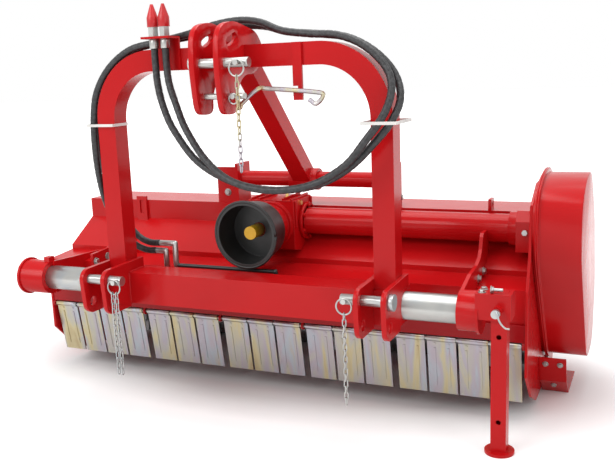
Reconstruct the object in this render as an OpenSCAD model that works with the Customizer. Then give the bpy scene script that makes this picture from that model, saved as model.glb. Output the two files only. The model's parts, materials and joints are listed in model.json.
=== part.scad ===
// Tractor-mounted flail mower with hydraulic side shift, in millimetres.
// The ground is z = 0, the tractor side is -Y and +X is the viewer's right.
// Build places count Y from the front plate of the hood and X from the middle of the deck.

/* [Deck] */
// Width between the two side plates
deck_w = 1616; // [1400:2:1900]
// Thickness of the side plates
side_t = 8; // [6:1:12]
// Thickness of the hood sheet
sheet_t = 5; // [3:0.5:8]
// Height of the lower edge of the front plate
front_low = 285; // [275:1:300]
// Height of the front plate
front_h = 108; // [100:1:116]
// Depth of the shelf behind the front plate
shelf_d = 120; // [112:1:128]
// Rise of the shelf over its depth
shelf_rise = 9; // [4:1:14]
// Height of the small step behind the shelf
step_h = 16; // [10:1:22]
// Depth of the slope under the drive tube
slope_d = 130; // [124:1:136]
// Rise of the slope under the drive tube
slope_h = 82; // [76:1:86]
// Height of the upright band behind the drive tube
band_h = 67; // [60:1:74]
// Depth of the flat roof
roof_d = 180; // [165:1:200]
// Depth of the rear slope
rear_d = 130; // [115:1:145]
// Drop of the rear slope
rear_drop = 87; // [75:1:100]
// Depth of the tail sheet
tail_d = 45; // [35:1:55]
// Drop of the tail sheet
tail_drop = 200; // [170:1:220]

/* [Flaps] */
// Width of one flap
flap_w = 84; // [80:0.5:88]
// Gap between neighbouring flaps of one bank
flap_gap = 7; // [3:0.5:8]
// Extra gap between two banks
bank_gap = 14; // [12:1:20]
// Length of a flap below its rod
flap_l = 175; // [150:1:180]
// Thickness of a flap
flap_t = 4; // [3:0.5:6]
// Backward lean of the hanging flaps in degrees
flap_lean = 9; // [4:0.5:14]
// Radius of the rod that carries the flaps
flap_rod_r = 5; // [4:0.5:6]

/* [Rotor] */
// Distance of the rotor axis behind the front plate
rotor_y = 315; // [305:1:325]
// Height of the rotor axis
rotor_z = 240; // [236:1:250]
// Outer radius of the rotor tube
rotor_r = 64; // [60:1:66]
// Wall of the rotor tube
rotor_wall = 8; // [6:0.5:10]
// Radius of the circle of hammer pins
pin_circle_r = 110; // [108:1:113]
// Length of a hammer below its pin
hammer_l = 80; // [70:1:82]
// Width of a hammer head along the rotor
hammer_w = 44; // [36:1:46]
// Hammers in one row
hammers = 6; // [4:1:6]

/* [Roller] */
// Distance of the roller axis behind the front plate
roller_y = 511; // [508:1:520]
// Radius of the rear roller
roller_r = 65; // [58:1:66]
// Radius of the roller's end pins
roller_pin_r = 15; // [10:0.5:20]

/* [Hitch] */
// Rest place of the hitch frame along X from the middle of the deck
frame_x = 42; // [30:1:50]
// Distance between the two lower link brackets
link_pitch = 856; // [840:1:880]
// Height of the upper hitch pin above the lower ones
mast_h = 610; // [600:1:620]
// Height of the lower hitch pins
link_z = 418; // [412:1:424]
// Radius of the lower hitch pins
link_pin_r = 14; // [11:0.5:16]
// Radius of the upper hitch pin
top_pin_r = 12.7; // [9.5:0.1:14]
// Outer size of the hitch beam
beam_s = 96; // [92:1:104]
// Wall of the hitch beam
beam_wall = 6; // [4:0.5:8]
// Outer size of the square arch tube
arch_s = 60; // [50:1:64]
// Height of the top face of the arch
arch_top = 1075; // [1065:1:1085]
// Outer radius of the arch bends
arch_bend = 200; // [170:1:220]
// Thickness of the bracket plates
link_t = 14; // [10:0.5:16]

/* [Slide tube] */
// Distance of the slide tube axis in front of the front plate
tube_fwd = 150; // [140:1:155]
// Height of the slide tube axis
tube_z = 372; // [366:1:378]
// Outer radius of the slide tube
tube_r = 38; // [34:0.5:40]
// Wall of the slide tube
tube_wall = 6; // [4:0.5:10]

/* [Drive] */
// Distance of the cross shaft behind the front plate
drive_y = 190; // [185:1:192]
// Height of the input shaft and the cross shaft
drive_z = 527; // [523:1:535]
// Outer radius of the drive tube
drive_tube_r = 42; // [38:0.5:44]
// Radius of both gearbox shafts
shaft_r = 17.5; // [15:0.5:18]
// Front radius of the guard over the input shaft
guard_r = 102; // [90:1:108]
// Length of the guard over the input shaft
guard_l = 95; // [80:1:105]
// Belt radius of the upper pulley
pulley_a_r = 95; // [85:1:98]
// Belt radius of the rotor pulley
pulley_b_r = 70; // [60:1:74]
// Number of belts
belts = 3; // [2:1:3]

/* [Belt casing] */
// Depth of the belt casing behind the rotor's axis
case_tail = 235; // [200:1:260]
// Height of the belt casing above the upper shaft
case_head = 161; // [150:1:180]
// Width of the belt casing
case_w = 129; // [126:1:140]

/* [Stand] */
// Outer size of the square stand leg
stand_s = 40; // [34:1:44]
// Distance between the two pin holes of the stand leg
stand_travel = 305; // [260:1:312]
// Radius of the stand foot
foot_r = 39; // [30:1:44]
// Thickness of the stand foot
foot_t = 8; // [5:0.5:10]

/* [Hidden] */
$fn = 48;
// Share of an edge that a rounded corner may take, and steps of the corner
corner_share = 0.45;
corner_steps = 5;
// Overrun of every cut
over = 1;
// Running clearance of shafts and pins in their bores
run_fit = 0.05;
// Clearance between sliding flat faces
slide_fit = 0.5;
// Gap under a casting that stands on painted sheet
seat_fit = 0.1;
// Clearance between pieces that pass each other
pass_fit = 2;

// Hood outline, as places behind the front plate and heights
h0 = [0, front_low];
h1 = h0 + [0, front_h];
h2 = h1 + [shelf_d, shelf_rise];
h3 = h2 + [0, step_h];
h4 = h3 + [slope_d, slope_h];
h5 = h4 + [0, band_h];
h6 = h5 + [roof_d, 0];
h7 = h6 + [rear_d, -rear_drop];
h8 = h7 + [tail_d, -tail_drop];
hood = [h0, h1, h2, h3, h4, h5, h6, h7, h8];
function slope_z(y) = h3.y + (y - h3.x) * slope_h / slope_d;
function shelf_z(y) = h1.y + y * shelf_rise / shelf_d;

// Unit normal of a line to its right-hand side
function right_of(a, b) = let (d = b - a) [d.y, -d.x] / norm(d);
// Inner corner of a bent sheet at one bend
function mitre(a, b, c, t) = let (m = right_of(a, b), n = right_of(b, c)) b + t * (m + n) / (1 + m * n);
// Outline of a bent sheet along a path, with its thickness on the right-hand side
function bent(p, t) = let (n = len(p)) concat(p,
    [p[n - 1] + t * right_of(p[n - 2], p[n - 1])],
    [for (i = [n - 2:-1:1]) mitre(p[i - 1], p[i], p[i + 1], t)],
    [p[0] + t * right_of(p[0], p[1])]);
// Points of a table of shares laid over a box from a corner
// Points of one corner rounded off over a length along each edge
function corner_arc(a, p, c, d, n) = let (
    u = p + min(d, corner_share * norm(a - p)) * (a - p) / norm(a - p),
    v = p + min(d, corner_share * norm(c - p)) * (c - p) / norm(c - p))
    [for (k = [0:n]) let (t = k / n) (1 - t) * (1 - t) * u + 2 * t * (1 - t) * p + t * t * v];
// Outline with all its corners rounded off
function rounded(line, d) = let (n = len(line))
    [for (i = [0:n - 1]) each corner_arc(line[(i + n - 1) % n], line[i], line[(i + 1) % n], d,
        corner_steps)];
function spread(shares, corner, size) = [for (s = shares) [corner.x + s.x * size.x,
    corner.y + s.y * size.y]];

// Horn and lifting tab on the hood
horn_x = -606;
horn_w = 40;
horn_t = 10;
horn_rise = 14;
horn_edge = 12;
tab_x = 655;
tab_t = 10;
tab_d = 40;
tab_h = 34;
tab_r = 9;

// Side plates
side_front = 14;
toe_z = 150;
toe_y = 75;
toe_low = 60;
sole_y = 170;
sole_z = 12;
heel_y = 545;
heel_z = 110;
side_x = deck_w / 2;
side_out = side_x + side_t;
side_line = concat([[-side_front, h1.y], [-side_front, toe_z], [toe_y, toe_low], [sole_y, sole_z],
    [heel_y, sole_z], [h8.x, heel_z]], [for (i = [8:-1:1]) hood[i]]);
// Upper ear of the right side plate, which carries the drive and the casing
ear_front = 45;
ear_low_front = 20;
ear_low_z = 470;
ear_z = 620;
ear_bevel = 105;
ear_top = 668;
ear_back = 392;
ear_line = [[-side_front, h1.y], [ear_low_front, ear_low_z], [ear_front, ear_z], [ear_front + ear_bevel,
    ear_top],
    [ear_back, ear_top], [ear_back, h5.y - rear_drop / 4], [ear_back, h1.y]];

// Rotor, its bearings and its pulley
stub_r = 20;
stub_hole = 34;
bearing_r = 56;
bearing_w = 30;
rotor_end_t = 14;
rotor_gap = 24;
rotor_x = side_x - rotor_gap;
lug_t = 8;
lug_w = 34;
hammer_pin_r = 8;
hammer_eye_r = 14;
hammer_t = 18;
shank_w = 24;
head_share = 0.45;
lug_fit = 1;
row_angles = [45, 135, 225, 315];
rows = len(row_angles);
row_pitch = 2 * (rotor_x - rotor_end_t) / hammers;
row_step = row_pitch / rows;
function hammer_x(row, i) = -rotor_x + rotor_end_t + row_step * (row + 0.5) + row_pitch * i;
function row_y(row) = rotor_y + pin_circle_r * cos(row_angles[row]);
function row_z(row) = rotor_z + pin_circle_r * sin(row_angles[row]);

// Flap row
flap_counts = [4, 3, 3, 3, 4];
banks = len(flap_counts);
flap_pitch = flap_w + flap_gap;
function before(k) = k == 0 ? 0 : before(k - 1) + flap_counts[k - 1];
flap_row = before(banks) * flap_pitch - flap_gap + (banks - 1) * bank_gap;
function flap_x(k, i) = -flap_row / 2 + (before(k) + i) * flap_pitch + k * bank_gap;
flap_beam_t = 10;
flap_beam_h = 50;
flap_beam_rise = 38;
flap_drop = 49;
flap_rod_z = front_low - flap_drop;
flap_rod_y = -5;
knuckle_r = 8.5;
flap_lug_t = 8;
flap_lug_r = 11;
rib_w = 6;
rib_t = 1.5;
rib_in_share = 0.26;
rib_top_share = 0.16;
rib_end_share = 0.86;
dimple_r = 4;
dimple_share = 0.09;
flap_fit = 0.1;
row_end_gap = 4;

// Slide tube and its carriers
tube_y = -tube_fwd;
tube_in_left = 48;
tube_in_right = 104;
left_tube_x = -side_out + tube_in_left;
right_tube_x = side_out - tube_in_right;
collar_r = 54;
left_collar_l = 90;
right_collar_l = 50;
right_collar_x = right_tube_x - right_collar_l;
end_ring_r = 60;
bolt_edge = 5;
end_ring_t = 8;
rib_plate_t = 10;
rib_x = 14;
rib_low_z = 320;
rib_top_z = 426;
rod_rib_in = 244;
rod_rib_x = -side_out + rod_rib_in;
rod_rib_y = -86;
rod_rib_low = 316;
rod_rib_top = 440;
// Upper edges of the three ribs, from the rear to the front
collar_rib_edge = [[100, 412], [-60, 420]];
rod_rib_edge = [[158, 452], [100, 455], [20, 450], [0, 444]];
stay_rib_edge = [[178, 527], [102, 527], [92, 518], [80, 484], [62, 464], [20, 451], [-60, 446]];
stay_foot_y = 178;
rod_foot_y = 158;
clamp_w = 26;
clamp_h = 68;
clamp_t = 20;

// Stand
stand_y = -175;
stand_in = 45;
stand_x = side_out - stand_in;
socket_s = 62;
socket_low = 366;
socket_h = 68;
stand_pin_z = 395;
stand_top_rise = 39;
stand_pin_r = 6;
stand_pin_l = 26;
stand_pin_gap = 3;
stand_pin_in = 12;
pin_knob_r = 11;
pin_knob_l = 12;
socket_boss_r = 12;
socket_boss_l = 14;
stand_wall = 4;
mid_hole_drop = 75;

// Roller
roller_wall = 6;
roller_gap = 8;
roller_end_t = 10;
roller_z = roller_r;

// Rear guide and brace
guide_y = 290;
guide_z = 648;
guide_r = 25;
guide_wall = 5;
guide_left = -190;
guide_right = 350;
guide_plate_t = 10;
guide_plate_d = 90;
guide_plate_top = 28;
guide_wing_w = 85;
guide_wing_top = 40;
sleeve_r = 36;
sleeve_l = 100;
brace_h = 55;

// Hitch frame
link_y = -290;
beam_cap_t = 12;
beam_front = tube_y - beam_s / 2;
beam_back = tube_y + beam_s / 2;
beam_top = tube_z + beam_s / 2;
beam_low = tube_z - beam_s / 2;
arch_wall = 5;
arch_set = 8;
arch_y = beam_front + arch_set;
leg_x = link_pitch / 2;
beam_l = link_pitch + arch_s + 2 * link_t;
link_lobe_r = 32;
link_rear = -118;
link_top_rise = 32;
link_low_y = -282;
link_low_z = 348;
link_low_r = 34;
pin_head_r = 22;
pin_head_t = 14;
pin_tail = 42;
linch_r = 4.5;
linch_in = 27;
linch_l = 46;
linch_ring_r = 21;
low_ring_r = 13;
low_linch_in = 18;
// Depth of the flat round the inside of a linch pin's ring
linch_flat_in = 0.5;
linch_wire_r = 2.5;
linch_head_r = 7;
linch_head_l = 12;

// Plates of the upper hitch
top_gap = 58;
top_t = 15;
top_pin_y = -298;
top_pin_z = link_z + mast_h;
low_pin_y = -282;
low_pin_drop = 86;
low_pin_r = 8;
top_plate_low = 895;
top_plate_h = 242;
top_plate_front = -336;
top_plate_d = 258;
rod_back_share = 0.36;
// Outline of an upper hitch plate in shares of its depth and height, from the lower front corner
top_plate_shares = [[0.06, 0], [rod_back_share, 0], [rod_back_share, 0.22], [0.52, 0.42], [0.8, 0.42],
    [1, 0.62], [1, 0.74],
    [0.86, 0.9], [0.36, 1], [0.12, 0.95], [0.02, 0.82], [0, 0.5]];
top_corner = 32;
window_corner = 9;
// Corners of the slot in an upper hitch plate
window_line = [[-289, 1087], [-239, 1109], [-222, 1099], [-228, 1087], [-273, 1069], [-288, 1074]];

// Rod that holds up the drive line when parked
rod_r = 6;
rod_z = 915;
rod_pin_r = 5;
rod_pin_l = 28;
rod_pin_in = 14;
rod_eye_r = 13;
rod_eye_w = 12;
rod_eye_gap = 8;
rod_y = top_plate_front + rod_back_share * top_plate_d + rod_eye_gap + rod_eye_w / 2;
rod_run = 62;
rod_rise = 42;
rod_reach = 222;
rod_dip = 12;
rod_hook_r = 20;
rod_clear = 8;
rod_steps = 4;
rod_sides = 10;
// Plate on the arch that holds the rod's free end
catch_x = 188;
catch_w = 26;
catch_t = 8;
catch_low = 925;
catch_slot = 15;
catch_slot_low = 22;
catch_finger = 12;

// Holder of the hose couplers
holder_t = 6;
holder_x = -200;
holder_w = 90;
holder_rise = 33;
holder_z = arch_top + holder_rise;
holder_reach = 58;
coupler_pitch = 36;
coupler_y = -225;
coupler_x = -217;
coupler_r = 11;
coupler_hex_r = 15;
coupler_hex_l = 26;
coupler_nose_r = 12;
coupler_nose_l = 22;
ferrule_r = 13;
ferrule_l = 26;
cap_r = 16;
cap_wall = 3;
cap_l = 25;
cap_tip_r = 4;
cap_tip_l = 36;

// Side-shift cylinder
cyl_y = -55;
cyl_z = 372;
cyl_r = 32;
cyl_bore_r = 25;
cyl_left = -387;
cyl_l = 450;
cyl_cap_t = 25;
cyl_rod_r = 15;
piston_w = 40;
piston_x = -162;
piston_fit = 0.5;
saddle_w = 40;
saddle_h = 40;
port_a_x = -282;
port_b_x = 85;
port_r = 10;
port_rise = 4;
pipe_r = 6;
pipe_z = 416;
knee_r = 7.5;
hose_r = 10;
elbow_r = 9;
end_a_x = -357;
end_b_x = -372;
end_y = -60;
end_a_z = 485;
end_b_z = 460;
elbow_a_x = -302;
elbow_b_x = -337;

// Gearbox
gb_half_w = 80;
gb_wall = 12;
gb_face_r = 74;
gb_face_t = 10;
gb_floor_more = 5;
gb_y0 = 100;
gb_y1 = 240;
gb_z0 = 448;
gb_top = 604;
gb_foot_y = 150;
neck_r = 64;
neck_y = 15;
gb_flange_r = 52;
gb_flange_t = 12;
crown_r = 58;
pinion_r = 19;
crown_t = 20;
gear_gap = 0.5;
gear_face_share = 0.36;
cap_len = 56;
cap_thick = 2.5;
cap_fit = 0.1;
shaft_front = -45;
guard_back_r = 88;
guard_wall = 4;
guard_lip_w = 13;
guard_lip_t = 6;
breather_r = 9;
breather_top_r = 5;
breather_l = 18;
breather_x = 36;
breather_y = 150;
plug_r = 8;
plug_l = 6;

// Drive tube and its bearing box
drive_wall = 6;
drive_collar_r = 50;
drive_collar_w = 24;
bearing_box_w = 52;
bearing_box_s = 116;
bearing_box_bevel = 28;

// Belt casing and pulleys
case_nose = 160;
case_drop = 135;
case_brow = 25;
case_crest = 110;
case_slope = 88;
case_chin = 43;
case_cheek = 108;
case_heel = 52;
case_heel_rise = 57;
case_toe = 15;
case_corner = 70;
case_wall = 4;
case_rim_w = 12;
case_flange = 12;
case_flange_t = 5;
pulley_x = 38;
belt_w = 13;
belt_pitch = 18;
belt_t = 9;
belt_gap = 0.5;
belt_steps = 48;
pulley_w = belts * belt_pitch + belt_w / 2;
pulley_rim_t = 4;
pulley_rim_h = 7;
pulley_hub_r = 34;

// Bolt heads
bolt_r = 9;
bolt_l = 8;

// Skids
skid_w = 80;
skid_t = 6;
skid_low = 0;
skid_front_y = 205;
skid_front_z = 138;
skid_bend_y = 232;
skid_bend_z = 60;
skid_flat_y = 292;
skid_end_y = 470;

// Chains
chain_wire_r = 1.7;
chain_in_l = 17;
chain_in_w = 6;
chain_gap = 0.5;
chain_pitch = chain_in_l - chain_gap;
strand_links = 15;
strand_gap = 14;
chain_seat_share = 0.6;

// Middle of the whole outline, which is the origin of the part
x_min = -side_out - skid_w;
x_max = side_out + case_w;
y_min = top_plate_front;
y_max = h8.x;
mid = [(x_min + x_max) / 2, (y_min + y_max) / 2, 0];

// Route of the lower hose from its coupler to the cylinder, beside the frame's middle
hose_1_route = [
    [-217, -225, 1076], [-217, -225, 1030], [-210, -231, 975], [-192, -238, 915], [-157, -246, 850],
    [-82, -254, 765], [28, -258, 711], [148, -260, 693], [268, -260, 708], [358, -255, 752],
    [428, -245, 818], [466, -221, 871], [478, -187, 925], [454, -153, 984], [402, -145, 1040],
    [330, -145, 1080], [248, -142, 1094], [148, -132, 1105], [70, -100, 1124], [0, -88, 1130],
    [-70, -98, 1124], [-152, -133, 1108], [-242, -148, 1095], [-332, -152, 1078], [-407, -155, 1030],
    [-457, -158, 960], [-475, -160, 880], [-479, -157, 780], [-480, -140, 690], [-479, -108, 620],
    [-473, -80, 568], [-456, -65, 526], [-427, -60, 497], [-392, -60, 485], [-357, -60, 485]];
// Route of the upper hose
hose_2_route = [
    [-181, -225, 1076], [-181, -225, 1030], [-173, -231, 980], [-152, -238, 925], [-116, -250, 852],
    [-46, -268, 768], [38, -282, 716], [148, -285, 696], [266, -285, 712], [356, -280, 760],
    [410, -271, 822], [449, -234, 887], [460, -202, 950], [436, -179, 1006], [375, -172, 1060],
    [305, -171, 1088], [228, -169, 1095], [143, -160, 1108], [69, -132, 1134], [0, -120, 1144],
    [-75, -130, 1136], [-152, -160, 1112], [-242, -175, 1095], [-332, -178, 1078], [-407, -181, 1030],
    [-457, -184, 960], [-475, -186, 880], [-480, -184, 780], [-486, -166, 690], [-492, -134, 612],
    [-489, -100, 550], [-474, -74, 503], [-445, -62, 473], [-408, -60, 460], [-372, -60, 460]];
hose_steps = 2;
hose_sides = 10;

// Places a piece of the deck in the part's own frame
module deck() { translate(-mid) children(); }
// Places a piece of the hitch frame, which rests beside the middle of the deck
module frame() { translate([frame_x, 0, 0] - mid) children(); }
// Block between two corners
module block(a, b) { translate(a) cube(b - a); }
// Round bars along each axis, between two places
module bar_x(p, r, a, b) { translate([a, p.x, p.y]) rotate([0, 90, 0]) cylinder(r = r, h = b - a); }
module bar_y(p, r, a, b) { translate([p.x, b, p.y]) rotate([90, 0, 0]) cylinder(r = r, h = b - a); }
module bar_z(p, r, a, b) { translate([p.x, p.y, a]) cylinder(r = r, h = b - a); }
// Plate across X with an outline of [y, z] points
module plate_x(points, a, t) { translate([a, 0, 0]) rotate([90, 0, 90]) linear_extrude(t) polygon(points); }
// Plate across Y with an outline of [x, z] points
module plate_y(points, a, t) { translate([0, a + t, 0]) rotate([90, 0,
    0]) linear_extrude(t) polygon(points); }
module tube_x(p, r, wall, a, b) {
    difference() {
        bar_x(p, r, a, b);
        bar_x(p, r - wall, a - over, b + over);
    }
}
// Hexagon head on a face, along each axis
module hex_x(p, r, a, b) { translate([a, p.x, p.y]) rotate([0, 90, 0]) cylinder(r = r, h = b - a,
    $fn = 6); }
module hex_y(p, r, a, b) { translate([p.x, b, p.y]) rotate([90, 0, 0]) cylinder(r = r, h = b - a,
    $fn = 6); }
module hex_z(p, r, a, b) { translate([p.x, p.y, a]) cylinder(r = r, h = b - a, $fn = 6); }

module hood_shell() {
    z = slope_z(h4.x - horn_t);
    color("firebrick") deck() union() {
        plate_x(bent(hood, sheet_t), -side_x, deck_w);
        // Slotted horn on the slope near the left end
        difference() {
            block([horn_x, h4.x - horn_t, z], [horn_x + horn_w, h4.x, h5.y + horn_rise]);
            block([horn_x + horn_edge, h4.x - 2 * horn_t, z + horn_edge + horn_rise],
                [horn_x + horn_w - horn_edge, h4.x - horn_t / 2, h5.y]);
        }
        // Lifting tab on the roof near the right end
        difference() {
            block([tab_x, h5.x, h5.y - sheet_t / 2], [tab_x + tab_t, h5.x + tab_d, h5.y + tab_h]);
            bar_x([h5.x + tab_d / 2, h5.y + tab_h / 2], tab_r, tab_x - over, tab_x + tab_t + over);
        }
    }
}
module side_holes(a) {
    bar_x([rotor_y, rotor_z], stub_hole, a - over, a + side_t + over);
    bar_x([roller_y, roller_z], roller_pin_r + run_fit, a - over, a + side_t + over);
}
module left_side_plate() {
    color("firebrick") deck() difference() {
        plate_x(side_line, -side_out, side_t);
        side_holes(-side_out);
    }
}
module right_side_plate() {
    color("firebrick") deck() difference() {
        union() {
            plate_x(side_line, side_x, side_t);
            plate_x(ear_line, side_x, side_t);
        }
        side_holes(side_x);
        bar_x([drive_y, drive_z], shaft_r + pass_fit, side_x - over, side_out + over);
    }
}
module flap_lug(x) {
    difference() {
        union() {
            bar_x([flap_rod_y, flap_rod_z], flap_lug_r, x, x + flap_lug_t);
            block([x, -flap_beam_t, flap_rod_z], [x + flap_lug_t, 0, front_low]);
        }
        bar_x([flap_rod_y, flap_rod_z], flap_rod_r + run_fit, x - over, x + flap_lug_t + over);
    }
}
module flap_beam() {
    color("darkred") deck() {
        block([-side_x, -flap_beam_t, front_low - flap_beam_rise], [side_x, 0, flap_beam_top]);
        for (k = [1:banks - 1]) flap_lug(flap_x(k, 0) - (bank_gap + flap_gap + flap_lug_t) / 2);
        flap_lug(-side_x);
        flap_lug(side_x - flap_lug_t);
    }
}
module flap_rod() {
    color("silver") deck() bar_x([flap_rod_y, flap_rod_z], flap_rod_r, -side_x, side_x);
}
module flap(x) {
    translate([x, flap_rod_y, flap_rod_z]) rotate([flap_lean, 0, 0]) difference() {
        union() {
            bar_x([0, 0], knuckle_r, 0, flap_w);
            block([0, -flap_t / 2, -flap_l], [flap_w, flap_t / 2, 0]);
            for (s = [rib_in_share, 1 - rib_in_share])
                block([s * flap_w - rib_w / 2, -flap_t / 2 - rib_t, -rib_end_share * flap_l],
                    [s * flap_w + rib_w / 2, 0, -rib_top_share * flap_l]);
            for (s = [rib_in_share, 1 - rib_in_share])
                bar_y([s * flap_w, -dimple_share * flap_l], dimple_r, -flap_t / 2 - rib_t, 0);
        }
        bar_x([0, 0], flap_rod_r + flap_fit, -over, flap_w + over);
    }
}
module flap_bank(k) {
    color("goldenrod") deck() for (i = [0:flap_counts[k] - 1]) flap(flap_x(k, i));
}
module slide_tube() {
    color("silver") deck() tube_x([tube_y, tube_z], tube_r, tube_wall, left_tube_x, right_tube_x);
}
// Outline of a rib that joins a collar to the hood
flap_beam_top = front_low - flap_beam_rise + flap_beam_h;
rib_root = [[-flap_beam_t, rib_low_z + rib_x], [-flap_beam_t, flap_beam_top], [0, flap_beam_top], h1, h2];
collar_rib_line = concat([[tube_y, rib_low_z]], rib_root, collar_rib_edge, [[tube_y, rib_top_z]]);
rod_rib_line = concat([[rod_rib_y, rod_rib_low]], rib_root, [h3, [rod_foot_y, slope_z(rod_foot_y)]],
    rod_rib_edge,
    [[rod_rib_y, rod_rib_top]]);
stay_rib_line = concat([[tube_y, rib_low_z]], rib_root, [h3, [stay_foot_y, slope_z(stay_foot_y)]],
    stay_rib_edge,
    [[tube_y, rib_top_z]]);
module collar(a, b) {
    difference() {
        children();
        bar_x([tube_y, tube_z], tube_r + run_fit, a - over, b + over);
    }
}
module left_carrier() {
    a = left_tube_x;
    b = left_tube_x + left_collar_l;
    color("firebrick") deck() {
        collar(a, b + rib_plate_t) {
            bar_x([tube_y, tube_z], collar_r, a, b);
            plate_x(collar_rib_line, b, rib_plate_t);
            block([b - clamp_t, tube_y - clamp_w / 2, tube_z], [b, tube_y + clamp_w / 2, tube_z + clamp_h]);
        }
        bar_x([tube_y, tube_z], end_ring_r, a - end_ring_t, a);
        // Rib that holds the end of the cylinder's rod
        plate_x(rod_rib_line, rod_rib_x, rib_plate_t);
    }
}
module right_carrier() {
    a = right_collar_x;
    b = right_tube_x;
    sx = stand_x - socket_s / 2;
    sy = stand_y - socket_s / 2;
    color("firebrick") deck() difference() {
        union() {
            collar(a, b) {
                bar_x([tube_y, tube_z], collar_r, a, b);
                plate_x(stay_rib_line, a, rib_plate_t);
            }
            bar_x([tube_y, tube_z], end_ring_r, b, b + end_ring_t);
            block([b, sy, socket_low], [sx + over, sy + socket_s, socket_low + clamp_h]);
            block([sx, sy, socket_low], [sx + socket_s, sy + socket_s, socket_low + socket_h]);
            bar_y([stand_x, stand_pin_z], socket_boss_r, sy - socket_boss_l, sy + over);
        }
        bar_x([drive_y, drive_z], drive_tube_r + seat_fit, a - over, b);
        translate([stand_x, stand_y, 0]) linear_extrude(arch_top) square(stand_s + 2 * slide_fit,
            center = true);
        bar_y([stand_x, stand_pin_z], stand_pin_r + run_fit, sy - socket_boss_l - over, stand_y);
    }
}
module stand_leg() {
    top = stand_pin_z + stand_top_rise;
    color("firebrick") deck() difference() {
        union() {
            bar_z([stand_x, stand_y], foot_r, 0, foot_t);
            translate([stand_x, stand_y, foot_t]) linear_extrude(top - foot_t) square(stand_s,
                center = true);
        }
        translate([stand_x, stand_y, foot_t + stand_wall]) linear_extrude(top - foot_t - 2 * stand_wall)
            square(stand_s - 2 * stand_wall, center = true);
        for (d = [0, mid_hole_drop, stand_travel])
            bar_y([stand_x, stand_pin_z - d], stand_pin_r + slide_fit, stand_y - stand_s,
                stand_y + stand_s);
    }
}
module stand_pin() {
    face = stand_y - socket_s / 2 - socket_boss_l;
    tip = stand_y - stand_s / 2 - slide_fit;
    color("silver") deck() {
        bar_y([stand_x, stand_pin_z], stand_pin_r, face - stand_pin_gap - pin_knob_l, tip);
        bar_y([stand_x, stand_pin_z], pin_knob_r, face - stand_pin_gap - stand_pin_in - pin_knob_l,
            face - stand_pin_gap - stand_pin_in);
    }
}
module rear_guide() {
    color("firebrick") deck() {
        tube_x([guide_y, guide_z], guide_r, guide_wall, guide_left, guide_right);
        for (x = [guide_left - guide_plate_t, guide_right])
            block([x, guide_y - guide_plate_d / 2, h5.y], [x + guide_plate_t,
                guide_y + guide_plate_d / 2, guide_z + guide_r + guide_plate_top]);
        // Wing plate that bolts to the front of the left foot
        block([guide_left - guide_wing_w, guide_y - guide_r - guide_plate_t, h5.y],
            [guide_left, guide_y - guide_r, guide_z + guide_wing_top]);
    }
}
module gearbox_housing() {
    lift = gb_wall + gb_floor_more;
    body = [[gb_y0, gb_z0], [gb_foot_y, slope_z(gb_foot_y) + seat_fit], [gb_y1,
        slope_z(gb_y1) + seat_fit], [gb_y1, gb_top],
        [gb_y0, gb_top]];
    room = [[gb_y0 + gb_wall, gb_z0 + gb_wall], [gb_foot_y, slope_z(gb_foot_y) + lift],
        [gb_y1 - gb_wall, slope_z(gb_y1 - gb_wall) + lift], [gb_y1 - gb_wall, gb_top - gb_wall],
        [gb_y0 + gb_wall, gb_top - gb_wall]];
    color("firebrick") deck() difference() {
        union() {
            plate_x(body, -gb_half_w, 2 * gb_half_w);
            bar_y([0, drive_z], neck_r, neck_y, gb_y0 + over);
            bar_y([0, drive_z], gb_face_r, gb_y0 - gb_face_t, gb_y0 + over);
        }
        plate_x(room, -gb_half_w + gb_wall, 2 * (gb_half_w - gb_wall));
        bar_y([0, drive_z], shaft_r + run_fit, neck_y - over, gb_y0 + gb_wall + over);
        bar_x([drive_y, drive_z], shaft_r + run_fit, 0, gb_half_w + over);
    }
}
module gearbox_plugs() {
    color("gold") deck() {
        hex_z([breather_x, breather_y], breather_r, gb_top, gb_top + plug_l);
        bar_z([breather_x, breather_y], breather_top_r, gb_top + plug_l, gb_top + plug_l + breather_l);
        hex_x([gb_foot_y, drive_z + neck_r], plug_r, gb_half_w, gb_half_w + plug_l);
    }
}
module pto_guard() {
    front = neck_y - guard_l;
    color([0.08, 0.08, 0.08]) deck() translate([0, neck_y, drive_z]) rotate([90, 0,
        0]) rotate_extrude() polygon([
        [shaft_r + cap_thick + pass_fit, 0], [guard_back_r, 0], [guard_r, guard_l],
            [guard_r - guard_lip_w, guard_l], [guard_r - guard_lip_w, guard_l - guard_lip_t],
        [guard_r - guard_wall, guard_l - guard_lip_t],
        [guard_back_r - guard_wall, guard_wall], [shaft_r + cap_thick + pass_fit, guard_wall]]);
}
// The input shaft carries its bevel wheel; the pitch cones meet at the crossing of the two axes
module input_shaft() {
    wheel = drive_y - pinion_r;
    in_r = crown_r * (1 - gear_face_share);
    in_y = drive_y - pinion_r * (1 - gear_face_share);
    color("silver") deck() {
        bar_y([0, drive_z], shaft_r, shaft_front, wheel - crown_t / 2);
        translate([0, 0, drive_z]) rotate([-90, 0, 0]) rotate_extrude() polygon([[0,
            wheel - crown_t - gear_gap],
            [crown_r - crown_t / 2, wheel - crown_t - gear_gap], [crown_r, wheel - gear_gap], [in_r,
                in_y - gear_gap],
            [in_r, wheel - crown_t / 2], [0, wheel - crown_t / 2]]);
    }
}
module shaft_cap() {
    b = shaft_front + cap_len;
    color("gold") deck() difference() {
        bar_y([0, drive_z], shaft_r + cap_thick, shaft_front - cap_thick, b);
        bar_y([0, drive_z], shaft_r + cap_fit, shaft_front, b + over);
    }
}
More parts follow.
